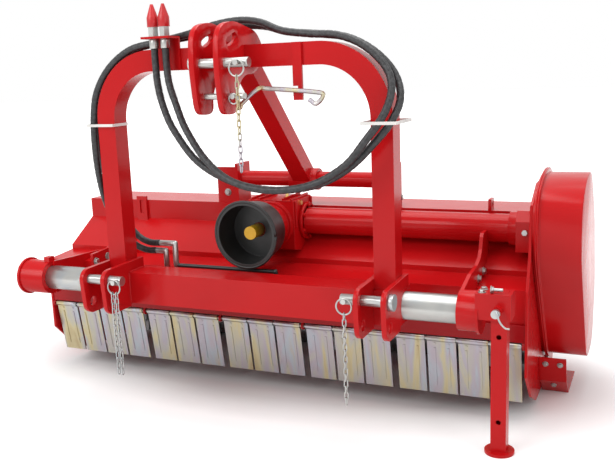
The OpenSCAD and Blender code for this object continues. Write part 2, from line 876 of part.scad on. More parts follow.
module cross_shaft() {
    in_x = crown_r * (1 - gear_face_share);
    in_r = pinion_r * (1 - gear_face_share) - gear_gap;
    color("silver") deck() {
        translate([0, drive_y, drive_z]) rotate([0, 90, 0]) rotate_extrude() polygon([[0, in_x], [in_r,
            in_x],
            [pinion_r - gear_gap, crown_r], [shaft_r, crown_r + pass_fit], [0, crown_r + pass_fit]]);
        bar_x([drive_y, drive_z], shaft_r, crown_r + pass_fit, side_out + pulley_x + pulley_w);
    }
}
module drive_tube() {
    a = gb_half_w;
    b = side_x - bearing_box_w;
    s = bearing_box_s / 2;
    c = bearing_box_bevel;
    corner = [[-s, -s], [s, -s], [s, s - c], [s - c, s], [c - s, s], [-s, s - c]];
    color("firebrick") deck() difference() {
        union() {
            bar_x([drive_y, drive_z], drive_tube_r, a, b + over);
            bar_x([drive_y, drive_z], gb_flange_r, a, a + gb_flange_t);
            bar_x([drive_y, drive_z], drive_collar_r, b - drive_collar_w, b);
            intersection() {
                plate_x([for (p = corner) p + [drive_y, drive_z]], b, bearing_box_w);
                plate_x([[0, slope_z(0) + sheet_t], [h4.x, h4.y + sheet_t], h5, [h4.x, arch_top], [0,
                    arch_top]], b, bearing_box_w);
            }
        }
        bar_x([drive_y, drive_z], drive_tube_r - drive_wall, a - over, b);
        bar_x([drive_y, drive_z], shaft_r + run_fit, b - over, side_x + over);
    }
}
case_front = drive_y - case_nose;
case_back = rotor_y + case_tail;
case_top = drive_z + case_head;
case_low = rotor_z - case_drop;
case_d = case_back - case_front;
case_line = rounded([[drive_y - case_brow, case_top], [drive_y + case_crest, case_top],
    [case_back - case_slope, drive_z],
    [case_back, rotor_z + case_heel_rise], [case_back - case_heel, case_low], [rotor_y - case_toe,
        case_low],
    [case_front, drive_z - case_chin], [case_front, drive_z + case_cheek]], case_corner);
case_mid = [(case_front + case_back) / 2, (case_low + case_top) / 2];
// Casing outline drawn in or out about its middle by a length across its depth
function case_ring(grow) = [for (p = case_line) case_mid + (p - case_mid) * (1 + 2 * grow / case_d)];
module belt_box() {
    a = side_out;
    color("firebrick") deck() difference() {
        union() {
            plate_x(case_line, a, case_rim_w);
            plate_x(case_ring(case_flange), a + case_rim_w - case_flange_t, case_flange_t);
        }
        plate_x(case_ring(-case_wall), a - over, case_rim_w + 2 * over);
    }
}
module belt_cover() {
    a = side_out + case_rim_w;
    b = side_out + case_w;
    color("firebrick") deck() difference() {
        union() {
            plate_x(case_ring(case_flange), a, case_flange_t);
            plate_x(case_line, a, b - a);
        }
        plate_x(case_ring(-case_wall), a - over, b - a + over - case_wall);
    }
}
// Outline of a loop round both pulleys at given radii
function belt_line(ra, rb) = let (
    p = [drive_y, drive_z],
    q = [rotor_y, rotor_z],
    base = atan2(q.y - p.y, q.x - p.x),
    part = acos((ra - rb) / norm(q - p)))
    concat([for (i = [0:belt_steps]) let (t = base + part + (360 - 2 * part) * i / belt_steps) p 
        + ra * [cos(t), sin(t)]],
        [for (i = [0:belt_steps]) let (t = base - part + 2 * part * i / belt_steps) q + rb * [cos(t),
            sin(t)]]);
function belt_x(i) = side_out + pulley_x + belt_w / 4 + (belt_pitch - belt_w) / 2 + i * belt_pitch;
module drive_belts() {
    color([0.1, 0.1, 0.1]) deck() for (i = [0:belts - 1]) difference() {
        plate_x(belt_line(pulley_a_r + belt_gap + belt_t, pulley_b_r + belt_gap + belt_t), belt_x(i),
            belt_w);
        plate_x(belt_line(pulley_a_r + belt_gap, pulley_b_r + belt_gap), belt_x(i) - over,
            belt_w + 2 * over);
    }
}
module pulley(p, r, bore) {
    a = side_out + pulley_x - pulley_rim_t;
    b = side_out + pulley_x + pulley_w;
    difference() {
        union() {
            bar_x(p, r, a, b);
            bar_x(p, r + pulley_rim_h, a, a + pulley_rim_t);
        }
        bar_x(p, bore + run_fit, a - over, b + over);
    }
}
module drive_pulley() { color("dimgray") deck() pulley([drive_y, drive_z], pulley_a_r, shaft_r); }
module rotor_pulley() { color("dimgray") deck() pulley([rotor_y, rotor_z], pulley_b_r, stub_r); }
module rotor_bearings() {
    color("dimgray") deck() for (a = [-side_out - bearing_w, side_out]) difference() {
        bar_x([rotor_y, rotor_z], bearing_r, a, a + bearing_w);
        bar_x([rotor_y, rotor_z], stub_r + run_fit, a - over, a + bearing_w + over);
    }
}
module skid_plate(a) {
    plate_x(bent([[skid_front_y, skid_front_z], [skid_bend_y, skid_bend_z], [skid_flat_y,
        skid_low + skid_t],
        [skid_end_y, skid_low + skid_t]], skid_t), a, skid_w);
}
module skids() {
    color("firebrick") deck() {
        skid_plate(side_out);
        skid_plate(-side_out - skid_w);
    }
}
skid_bolt_share = 0.5;
skid_bolt_z = 78;
ring_bolt_r = end_ring_r - bolt_r - bolt_edge;
module deck_bolts() {
    color("silver") deck() {
        // Heads on the side plates above the skids
        for (s = [-1, 1], i = [0:2])
            hex_x([skid_flat_y + i * skid_w * skid_bolt_share, skid_bolt_z], bolt_r,
                s > 0 ? side_out : -side_out - bolt_l, s > 0 ? side_out + bolt_l : -side_out);
        // Heads on the bearing box and on the end rings of the slide tube
        hex_y([side_x - bearing_box_w / 2, drive_z], bolt_r, drive_y - bearing_box_s / 2 - bolt_l,
            drive_y - bearing_box_s / 2);
        for (i = [0:3])
            hex_x([tube_y + ring_bolt_r * cos(90 * i + 45), tube_z + ring_bolt_r * sin(90 * i + 45)],
                bolt_r,
                left_tube_x - end_ring_t - bolt_l, left_tube_x - end_ring_t);
        // Heads on the feet of the rear guide
        for (y = [-1, 1])
            hex_x([guide_y + y * guide_plate_d / 3, h5.y + guide_plate_d / 4], bolt_r,
                guide_right + guide_plate_t,
                guide_right + guide_plate_t + bolt_l);
    }
}
module cylinder_rod() {
    a = rod_rib_x + rib_plate_t;
    color("lightgray") deck() {
        bar_x([cyl_y, cyl_z], cyl_rod_r, a, piston_x + frame_x);
        bar_x([cyl_y, cyl_z], cyl_bore_r - piston_fit, piston_x + frame_x, piston_x + frame_x + piston_w);
    }
}
module rotor_drum() {
    color("dimgray") deck() difference() {
        union() {
            tube_x([rotor_y, rotor_z], rotor_r, rotor_wall, -rotor_x, rotor_x);
            for (a = [-rotor_x, rotor_x - rotor_end_t]) bar_x([rotor_y, rotor_z], rotor_r, a,
                a + rotor_end_t);
            bar_x([rotor_y, rotor_z], stub_r, -side_out - bearing_w, -rotor_x + over);
            bar_x([rotor_y, rotor_z], stub_r, rotor_x - over, side_out + pulley_x + pulley_w);
            for (row = [0:rows - 1], i = [0:hammers - 1], s = [-1, 1])
                translate([hammer_x(row, i) + s * (hammer_w / 2 + lug_fit) + (s - 1) / 2 * lug_t,
                    rotor_y, rotor_z])
                    rotate([row_angles[row], 0, 0]) difference() {
                        union() {
                            block([0, rotor_r - rotor_wall / 2, -lug_w / 2], [lug_t, pin_circle_r,
                                lug_w / 2]);
                            bar_x([pin_circle_r, 0], lug_w / 2, 0, lug_t);
                        }
                        bar_x([pin_circle_r, 0], hammer_pin_r + run_fit, -over, lug_t + over);
                    }
        }
    }
}
module hammer_row(row) {
    color("gray") deck() for (i = [0:hammers - 1]) translate([hammer_x(row, i), row_y(row), row_z(row)]) {
        reach = hammer_w / 2 + lug_fit + lug_t;
        bar_x([0, 0], hammer_pin_r, -reach, reach);
        bar_x([0, 0], hammer_eye_r, -hammer_w / 2, hammer_w / 2);
        block([-shank_w / 2, -hammer_t / 3, -hammer_l], [shank_w / 2, hammer_t / 3, 0]);
        block([-hammer_w / 2, -hammer_t / 2, -hammer_l], [hammer_w / 2, hammer_t / 2,
            -hammer_l * (1 - head_share)]);
    }
}
module rear_roller() {
    x = side_x - roller_gap;
    color("dimgray") deck() {
        tube_x([roller_y, roller_z], roller_r, roller_wall, -x, x);
        for (a = [-x, x - roller_end_t]) bar_x([roller_y, roller_z], roller_r - roller_wall / 2, a,
            a + roller_end_t);
        bar_x([roller_y, roller_z], roller_pin_r, -side_out, -x + over);
        bar_x([roller_y, roller_z], roller_pin_r, x - over, side_out);
    }
}

module hitch_beam() {
    a = -beam_l / 2;
    b = beam_l / 2;
    s = beam_s / 2;
    w = beam_s / 2 - beam_wall;
    color("firebrick") frame() difference() {
        block([a, tube_y - s, tube_z - s], [b, tube_y + s, tube_z + s]);
        block([a + beam_cap_t, tube_y - w, tube_z - w], [b - beam_cap_t, tube_y + w, tube_z + w]);
        bar_x([tube_y, tube_z], tube_r + run_fit, a - over, b + over);
    }
}
// Square arch of a given size about the middle line of the tube
module arch_solid(s, cut) {
    r = arch_bend - arch_s / 2;
    top = arch_top - arch_s / 2;
    y = arch_y + arch_s / 2;
    for (d = [0, 1]) mirror([d, 0, 0]) {
        block([leg_x - s / 2, y - s / 2, beam_top - cut], [leg_x + s / 2, y + s / 2, top - r]);
        translate([leg_x - r, y, top - r]) rotate([90, 0, 0])
            rotate_extrude(angle = 90) translate([r - s / 2, -s / 2]) square(s);
    }
    block([r - leg_x, y - s / 2, top - s / 2], [leg_x - r, y + s / 2, top + s / 2]);
}
module arch_tube() {
    color("firebrick") frame() union() {
        difference() {
            arch_solid(arch_s, 0);
            arch_solid(arch_s - 2 * arch_wall, over);
        }
        // Plate with a slot that holds the free end of the support rod
        difference() {
            block([catch_x, arch_y - catch_t, catch_low], [catch_x + catch_w, arch_y, arch_top]);
            block([catch_x - over, arch_y - catch_t - over, catch_low + catch_slot_low],
                [catch_x + catch_w - catch_finger, arch_y + over, catch_low + catch_slot_low + catch_slot]);
        }
        // Bracket with two holes for the hose couplers
        block([holder_x - holder_w / 2, arch_y - holder_t, arch_top - arch_s], [holder_x + holder_w / 2,
            arch_y, holder_z]);
        difference() {
            block([holder_x - holder_w / 2, arch_y - holder_reach, holder_z - holder_t],
                [holder_x + holder_w / 2, arch_y, holder_z]);
            for (i = [0, 1]) bar_z([coupler_x + i * coupler_pitch, coupler_y], coupler_r + slide_fit,
                holder_z - holder_t - over, holder_z + over);
        }
    }
}
module link_plate(a) {
    s = beam_s / 2;
    line = [[link_rear, beam_top + link_top_rise], [link_y, link_z + link_lobe_r], [link_y - link_lobe_r,
        link_z],
        [link_low_y - link_low_r, link_low_z], [link_low_y, link_low_z - link_low_r], [tube_y - s,
            link_low_z - link_low_r],
        [tube_y - s, tube_z], [link_rear, tube_z]];
    difference() {
        union() {
            plate_x(line, a, link_t);
            bar_x([link_y, link_z], link_lobe_r, a, a + link_t);
            bar_x([link_low_y, link_low_z], link_low_r, a, a + link_t);
        }
        block([a - over, tube_y - s, tube_z - s], [a + link_t + over, 0, tube_z + s]);
        bar_x([link_y, link_z], link_pin_r + run_fit, a - over, a + link_t + over);
        // Spare hole below the pin
        bar_x([link_low_y, link_low_z], link_pin_r, a - over, a + link_t + over);
    }
}
module link_plates() {
    color("firebrick") frame() for (d = [-1, 1]) {
        link_plate(d * leg_x - arch_s / 2 - link_t);
        link_plate(d * leg_x + arch_s / 2);
    }
}
top_plate_line = rounded(spread(top_plate_shares, [top_plate_front, top_plate_low], [top_plate_d,
    top_plate_h]), top_corner);
module top_link_plates() {
    color("firebrick") frame() {
        for (a = [-top_gap / 2 - top_t, top_gap / 2]) difference() {
            plate_x(top_plate_line, a, top_t);
            block([a - over, arch_y, arch_top - arch_s], [a + top_t + over, arch_y + arch_s, arch_top]);
            bar_x([top_pin_y, top_pin_z], top_pin_r + run_fit, a - over, a + top_t + over);
            bar_x([low_pin_y, top_pin_z - low_pin_drop], low_pin_r + run_fit, a - over, a + top_t + over);
            plate_x(rounded(window_line, window_corner), a - over, top_t + 2 * over);
        }
        // Pivot pin of the support rod on the edge of the right plate
        bar_y([top_gap / 2 + top_t / 2, rod_z], rod_pin_r,
            top_plate_front + rod_back_share * top_plate_d - rod_pin_in,
            top_plate_front + rod_back_share * top_plate_d + rod_pin_l);
    }
}
brace_top_z = 1052;
brace_wall = 6;
module brace() {
    back = arch_y + arch_s;
    run = [guide_y - back, guide_z - brace_top_z];
    e = run / norm(run);
    n = [-e.y, e.x];
    p = [back, brace_top_z];
    q = [guide_y, guide_z];
    h = brace_h / 2;
    w = h - brace_wall;
    color("firebrick") frame() difference() {
        union() {
            intersection() {
                plate_x([p - 2 * h * e - h * n, q - h * n, q + h * n, p - 2 * h * e + h * n],
                    -top_gap / 2, top_gap);
                block([-top_gap, back, 0], [top_gap, guide_y + sleeve_r, arch_top + arch_s]);
            }
            bar_x([guide_y, guide_z], sleeve_r, -sleeve_l / 2, sleeve_l / 2);
        }
        bar_x([guide_y, guide_z], guide_r + run_fit, -sleeve_l, sleeve_l);
        // Hollow of the tube
        plate_x([p + brace_wall * e - w * n + h * e, q - sleeve_r * e - w * n, q - sleeve_r * e + w * n,
            p + brace_wall * e + w * n + h * e],
            brace_wall - top_gap / 2, top_gap - 2 * brace_wall);
    }
}
module pin_bar(p, r, a, b, head_a, hole_x) {
    difference() {
        union() {
            bar_x(p, r, a, b);
            bar_x(p, r + pin_head_r - link_pin_r, head_a, head_a + pin_head_t);
        }
        bar_y([hole_x, p.y], linch_r + run_fit, p.x - r - over, p.x + r + over);
    }
}
link_half = arch_s / 2 + link_t;
linch_place = link_half + linch_in;
top_linch_x = top_gap / 2 + top_t + pin_tail;
low_linch_x = top_gap / 2 + top_t + low_linch_in;
module hitch_pins() {
    color("goldenrod") frame() {
        pin_bar([link_y, link_z], link_pin_r, -leg_x - link_half, -leg_x + link_half + pin_tail,
            -leg_x - link_half - pin_head_t, -leg_x + linch_place);
        pin_bar([link_y, link_z], link_pin_r, leg_x - link_half - pin_tail, leg_x + link_half,
            leg_x + link_half, leg_x - linch_place);
        pin_bar([top_pin_y, top_pin_z], top_pin_r, -top_gap / 2 - top_t, top_linch_x + linch_in,
            -top_gap / 2 - top_t - pin_head_t, top_linch_x);
        pin_bar([low_pin_y, top_pin_z - low_pin_drop], low_pin_r, -top_gap / 2 - top_t,
            low_linch_x + linch_in,
            -top_gap / 2 - top_t - pin_head_t, low_linch_x);
    }
}
ring_flat = linch_wire_r - linch_flat_in;
// Linch pin through a hitch pin along Y, with its ring in front
module linch(p, y, r, ring = linch_ring_r) {
    front = y - r - linch_head_l - pass_fit;
    color("silver") frame() {
        bar_y(p, linch_r, front, front + linch_l);
        bar_y(p, linch_head_r, front, front + linch_head_l);
        translate([p.x, front + linch_head_l / 2, p.y - ring + linch_head_r]) rotate([90, 0, 0])
            rotate_extrude() translate([ring, 0]) intersection() {
                circle(linch_wire_r);
                square([2 * ring_flat, 2 * linch_wire_r], center = true);
            }
    }
}
module left_linch() { linch([-leg_x + linch_place, link_z], link_y, link_pin_r); }
module right_linch() { linch([leg_x - linch_place, link_z], link_y, link_pin_r); }
module top_linch() { linch([top_linch_x, top_pin_z], top_pin_y, top_pin_r); }
module low_linch() { linch([low_linch_x, top_pin_z - low_pin_drop], low_pin_y, low_pin_r, low_ring_r); }
// One chain link that hangs in the plane across Y, with its middle at the origin
module chain_link() {
    r = chain_in_w / 2 + chain_wire_r;
    h = chain_in_l / 2 - chain_in_w / 2;
    rotate([90, 0, 0]) {
        for (d = [0, 1]) rotate([0, 0, d * 180]) translate([0, h,
            0]) rotate_extrude(angle = 180) translate([r, 0]) circle(chain_wire_r);
        for (d = [-1, 1]) translate([d * r, -h, 0]) rotate([-90, 0, 0]) cylinder(r = chain_wire_r,
            h = 2 * h);
    }
}
// A strand of links that hangs beside the lowest point of a linch pin's ring
module strand(p, y, z, off) {
    ring = z - linch_ring_r + linch_head_r;
    bore = linch_ring_r - linch_wire_r;
    side = off + chain_seat_share * chain_wire_r;
    top = ring - sqrt(bore * bore - side * side) + chain_gap;
    for (i = [0:strand_links - 1])
        translate([p, y, top - chain_in_l / 2 - i * chain_pitch]) rotate([0, 0,
            90 * ((i + 1) % 2)]) chain_link();
}
function ring_y(y, r) = y - r - linch_head_l / 2 - pass_fit;
module chain(x, y, r, z, strands) {
    off = (strands - 1) * strand_gap / 2;
    color("goldenrod") frame() for (i = [0:strands - 1]) strand(x - off + i * strand_gap, ring_y(y, r),
        z, off);
}
module left_chain() { chain(-leg_x + linch_place, link_y, link_pin_r, link_z, 2); }
module right_chain() { chain(leg_x - linch_place, link_y, link_pin_r, link_z, 1); }
module top_chain() { chain(top_linch_x, top_pin_y, top_pin_r, top_pin_z, 1); }
module support_rod() {
    x = top_gap / 2 + top_t / 2;
    c = arch_y - catch_t - rod_r - rod_clear;
    p = [[x + rod_eye_r / 2, rod_y, rod_z], [x + rod_run, rod_y, rod_z + rod_rise], [catch_x - rod_run,
        c, rod_z + rod_rise],
        [x + rod_reach, c, rod_z + rod_rise - rod_dip], [x + rod_reach + rod_hook_r, c,
            rod_z + rod_rise / 2],
        [x + rod_reach, c, rod_z], [x + rod_reach - rod_hook_r, c, rod_z + rod_dip]];
    color("goldenrod") frame() difference() {
        union() {
            swept(curve_points(p, rod_steps), rod_r, rod_sides);
            bar_y([x, rod_z], rod_eye_r, rod_y - rod_eye_w / 2, rod_y + rod_eye_w / 2);
        }
        bar_y([x, rod_z], rod_pin_r + run_fit, rod_y - rod_eye_w, rod_y + rod_eye_w);
    }
}
module cylinder_barrel() {
    a = cyl_left;
    b = cyl_left + cyl_l;
    color("firebrick") frame() difference() {
        union() {
            bar_x([cyl_y, cyl_z], cyl_r, a, b);
            for (x = [a + saddle_w, b - 2 * saddle_w])
                block([x, beam_back, cyl_z - saddle_h / 2], [x + saddle_w, cyl_y, cyl_z + saddle_h / 2]);
            for (x = [elbow_b_x, port_b_x - frame_x]) bar_z([x, end_y], port_r, cyl_z,
                cyl_z + cyl_r + port_rise);
        }
        bar_x([cyl_y, cyl_z], cyl_bore_r, a + cyl_cap_t, b - cyl_cap_t);
        bar_x([cyl_y, cyl_z], cyl_rod_r + run_fit, a - over, a + cyl_cap_t + over);
    }
}
module hydraulic_fittings() {
    seat = cyl_z + cyl_r + port_rise;
    color("silver") frame() {
        // Elbow of the upper hose, straight into the rod-end port
        bar_x([end_y, end_b_z], elbow_r, end_b_x, elbow_b_x);
        translate([elbow_b_x, end_y, end_b_z]) sphere(elbow_r);
        bar_z([elbow_b_x, end_y], elbow_r, seat, end_b_z);
        // Elbow of the lower hose, with a hard line to the far port
        bar_x([end_y, end_a_z], elbow_r, end_a_x, elbow_a_x);
        translate([elbow_a_x, end_y, end_a_z]) sphere(elbow_r);
        bar_z([elbow_a_x, end_y], elbow_r, pipe_z, end_a_z);
        translate([elbow_a_x, end_y, pipe_z]) sphere(elbow_r);
        bar_x([end_y, pipe_z], pipe_r, elbow_a_x, port_b_x - frame_x);
        translate([port_b_x - frame_x, end_y, pipe_z]) sphere(knee_r);
        bar_z([port_b_x - frame_x, end_y], knee_r, seat, pipe_z);
    }
}
// Smooth curve through the points of a hose route
function curve(p, i, t) = let (
    b = p[i],
    c = p[i + 1],
    a = i > 0 ? p[i - 1] : 2 * b - c,
    d = i + 2 < len(p) ? p[i + 2] : 2 * c - b)
    0.5 * (2 * b + (c - a) * t + (2 * a - 5 * b + 4 * c - d) * t * t + (3 * b - a - 3 * c + d) * t * t * t);
function curve_points(p, n) = concat([for (i = [0:len(p) - 2], k = [0:n - 1]) curve(p, i, k / n)],
    [p[len(p) - 1]]);
function unit(v) = v / norm(v);
function tangent(p, i) = unit(p[min(i + 1, len(p) - 1)] - p[max(i - 1, 0)]);
// Direction across a hose, carried from ring to ring
function carry(p, i) = i == 0 ? let (t = tangent(p, 0), s = abs(t.z) > abs(t.x) ? [1, 0, 0] : [0, 0,
    1]) unit(s - t * (s * t))
    : let (t = tangent(p, i), s = carry(p, i - 1)) unit(s - t * (s * t));
function carried(p) = [for (i = 0, s = carry(p, 0); i < len(p);
    i = i + 1, s = i < len(p) ? let (t = tangent(p, i)) unit(s - t * (s * t)) : s) s];
// Round bar swept along points, with flat ends
module swept(p, r, m) {
    across = carried(p);
    n = len(p);
    points = [for (i = [0:n - 1], k = [0:m - 1]) let (u = across[i], v = cross(tangent(p, i), u))
        p[i] + r * (cos(360 * k / m) * u + sin(360 * k / m) * v)];
    walls = [for (i = [0:n - 2], k = [0:m - 1], h = [0, 1]) let (a = i * m + k, b = i * m + (k + 1) % m)
        h == 0 ? [a, a + m, b] : [b, a + m, b + m]];
    ends = concat([for (k = [1:m - 2]) [0, k, k + 1]], [for (k = [1:m - 2]) [(n - 1) * m,
        (n - 1) * m + k + 1, (n - 1) * m + k]]);
    polyhedron(points, concat(walls, ends));
}
module hose_1() { color([0.1, 0.1, 0.1]) frame() swept(curve_points(hose_1_route, hose_steps), hose_r,
    hose_sides); }
module hose_2() { color([0.1, 0.1, 0.1]) frame() swept(curve_points(hose_2_route, hose_steps), hose_r,
    hose_sides); }
module hose_couplers() {
    low = hose_1_route[0].z;
    color("silver") frame() for (i = [0, 1]) {
        p = [coupler_x + i * coupler_pitch, coupler_y];
        bar_z(p, ferrule_r, low, low + ferrule_l);
        bar_z(p, coupler_r, low + ferrule_l, holder_z);
        hex_z(p, coupler_hex_r, holder_z, holder_z + coupler_hex_l);
        bar_z(p, coupler_nose_r, holder_z + coupler_hex_l, holder_z + coupler_hex_l + coupler_nose_l);
    }
}
module dust_caps() {
    a = holder_z + coupler_hex_l;
    color("red") frame() for (i = [0, 1]) {
        p = [coupler_x + i * coupler_pitch, coupler_y];
        difference() {
            union() {
                bar_z(p, cap_r, a, a + cap_l);
                translate([p.x, p.y, a + cap_l]) cylinder(h = cap_tip_l, r1 = cap_r, r2 = cap_tip_r);
            }
            bar_z(p, coupler_nose_r + cap_fit, a - over, a + coupler_nose_l + cap_fit);
        }
    }
}
tie_t = 1.6;
tie_w = 8;
tie_fit = 0.5;
left_tie_z = 860;
right_tie_z = 862;
tie_hose = 30;
right_tie_front = 72;
module tie(a, b, z) {
    difference() {
        block([a.x - tie_t, a.y - tie_t, z], [b.x + tie_t, b.y + tie_t, z + tie_w]);
        block([a.x, a.y, z - over], [b.x, b.y, z + tie_w + over]);
    }
}
module cable_ties() {
    s = arch_s / 2;
    color("white") frame() {
        tie([-leg_x - s - tie_hose, arch_y - 2 * tie_fit - hose_r], [-leg_x + s + tie_fit,
            arch_y + arch_s + tie_fit], left_tie_z);
        tie([leg_x - s - tie_fit, arch_y - right_tie_front], [leg_x + s + tie_hose,
            arch_y + arch_s + tie_fit], right_tie_z);
    }
}

hood_shell();
left_side_plate();
right_side_plate();
flap_beam();
flap_rod();
slide_tube();
left_carrier();
right_carrier();
rear_guide();
gearbox_housing();
gearbox_plugs();
pto_guard();
drive_tube();
belt_box();
belt_cover();
drive_belts();
rotor_bearings();
skids();
deck_bolts();
cylinder_rod();
input_shaft();
shaft_cap();
cross_shaft();
drive_pulley();
rotor_drum();
rotor_pulley();
hammer_row(0);  // hammer_row_1
hammer_row(1);  // hammer_row_2
hammer_row(2);  // hammer_row_3
hammer_row(3);  // hammer_row_4
rear_roller();
stand_leg();
stand_pin();
flap_bank(0);  // flap_bank_1
flap_bank(1);  // flap_bank_2
flap_bank(2);  // flap_bank_3
flap_bank(3);  // flap_bank_4
flap_bank(4);  // flap_bank_5
hitch_beam();
arch_tube();
link_plates();
top_link_plates();
brace();
hitch_pins();
cylinder_barrel();
hydraulic_fittings();
hose_1();
hose_2();
hose_couplers();
dust_caps();
cable_ties();
left_linch();
right_linch();
top_linch();
low_linch();
left_chain();
right_chain();
top_chain();
support_rod();
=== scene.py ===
"""Red tractor flail mower with a side-shift hitch frame, on a plain pale studio floor."""
import json
import math

import bmesh
import bpy
from mathutils import Matrix, Vector


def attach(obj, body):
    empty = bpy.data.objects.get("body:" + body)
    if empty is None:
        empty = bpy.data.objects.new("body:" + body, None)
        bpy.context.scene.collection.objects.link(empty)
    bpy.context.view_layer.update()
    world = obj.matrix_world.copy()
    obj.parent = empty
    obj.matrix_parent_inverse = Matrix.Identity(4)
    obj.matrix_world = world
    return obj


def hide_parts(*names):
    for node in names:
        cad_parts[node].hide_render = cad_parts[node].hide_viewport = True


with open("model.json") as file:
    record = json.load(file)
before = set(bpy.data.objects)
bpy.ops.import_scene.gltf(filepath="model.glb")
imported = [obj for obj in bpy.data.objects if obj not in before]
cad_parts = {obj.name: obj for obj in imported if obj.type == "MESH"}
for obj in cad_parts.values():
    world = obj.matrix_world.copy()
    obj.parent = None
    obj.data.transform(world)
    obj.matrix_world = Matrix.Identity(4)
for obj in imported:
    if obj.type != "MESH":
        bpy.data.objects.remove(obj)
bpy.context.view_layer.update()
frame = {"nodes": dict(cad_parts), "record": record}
NODES = frame["nodes"]

# Photograph and camera
IMAGE_WIDTH = 615
FOCAL_PIXELS = 820.6
SENSOR_WIDTH = 36.0
CAMERA_PLACE = Vector((1.1125, -2.3335, 0.997))
CAMERA_TURN = math.radians(23.78)
CAMERA_PITCH = math.radians(11.10)
CAMERA_ROLL = math.radians(-2.19)

# Places of the deck's and the hitch frame's own origins in the part's frame
DECK = Vector((-0.0245, -0.1345, 0.0))
HITCH = Vector((0.0175, -0.1345, 0.0))

# Hoses, in metres from the hitch frame's own origin
HOSE_RADIUS = 0.010
HOSE_STEP = 0.0035
HOSE_SIDES = 20
WRAP_PITCH = 0.021
WRAP_DEPTH = 0.0011
WRAP_GROOVE = 0.09
WRAP_EASE = 0.7
HOSE_ROUTES = {
    "hose_1": [
        (-0.217, -0.225, 1.076), (-0.217, -0.225, 1.030), (-0.210, -0.231, 0.975), (-0.192, -0.238, 0.915),
        (-0.157, -0.246, 0.850), (-0.082, -0.254, 0.765), (0.028, -0.258, 0.711), (0.148, -0.260, 0.693),
        (0.268, -0.260, 0.708), (0.358, -0.255, 0.752), (0.428, -0.245, 0.818), (0.466, -0.221, 0.871),
        (0.478, -0.187, 0.925), (0.454, -0.153, 0.984), (0.402, -0.145, 1.040), (0.330, -0.145, 1.080),
        (0.248, -0.142, 1.094), (0.148, -0.132, 1.105), (0.070, -0.100, 1.124), (0.000, -0.088, 1.130),
        (-0.070, -0.098, 1.124), (-0.152, -0.133, 1.108), (-0.242, -0.148, 1.095), (-0.332, -0.152, 1.078),
        (-0.407, -0.155, 1.030), (-0.457, -0.158, 0.960), (-0.475, -0.160, 0.880), (-0.479, -0.157, 0.780),
        (-0.480, -0.140, 0.690), (-0.479, -0.108, 0.620), (-0.473, -0.080, 0.568), (-0.456, -0.065, 0.526),
        (-0.427, -0.060, 0.497), (-0.392, -0.060, 0.485), (-0.357, -0.060, 0.485)],
    "hose_2": [
        (-0.181, -0.225, 1.076), (-0.181, -0.225, 1.030), (-0.173, -0.231, 0.980), (-0.152, -0.238, 0.925),
        (-0.116, -0.250, 0.852), (-0.046, -0.268, 0.768), (0.038, -0.282, 0.716), (0.148, -0.285, 0.696),
        (0.266, -0.285, 0.712), (0.356, -0.280, 0.760), (0.410, -0.271, 0.822), (0.449, -0.234, 0.887),
        (0.460, -0.202, 0.950), (0.436, -0.179, 1.006), (0.375, -0.172, 1.060), (0.305, -0.171, 1.088),
        (0.228, -0.169, 1.095), (0.143, -0.160, 1.108), (0.069, -0.132, 1.134), (0.000, -0.120, 1.144),
        (-0.075, -0.130, 1.136), (-0.152, -0.160, 1.112), (-0.242, -0.175, 1.095), (-0.332, -0.178, 1.078),
        (-0.407, -0.181, 1.030), (-0.457, -0.184, 0.960), (-0.475, -0.186, 0.880), (-0.480, -0.184, 0.780),
        (-0.486, -0.166, 0.690), (-0.492, -0.134, 0.612), (-0.489, -0.100, 0.550), (-0.474, -0.074, 0.503),
        (-0.445, -0.062, 0.473), (-0.408, -0.060, 0.460), (-0.372, -0.060, 0.460)],
}

# Colours, in linear light
RED = (0.52, 0.0065, 0.0085)
DARK_RED = (0.36, 0.005, 0.008)
WHITE = (1.0, 1.0, 1.0)

# Stretch of a pattern along each axis
EVEN = (1.0, 1.0, 1.0)
UPRIGHT = (3.0, 1.0, 0.5)


# Material helpers

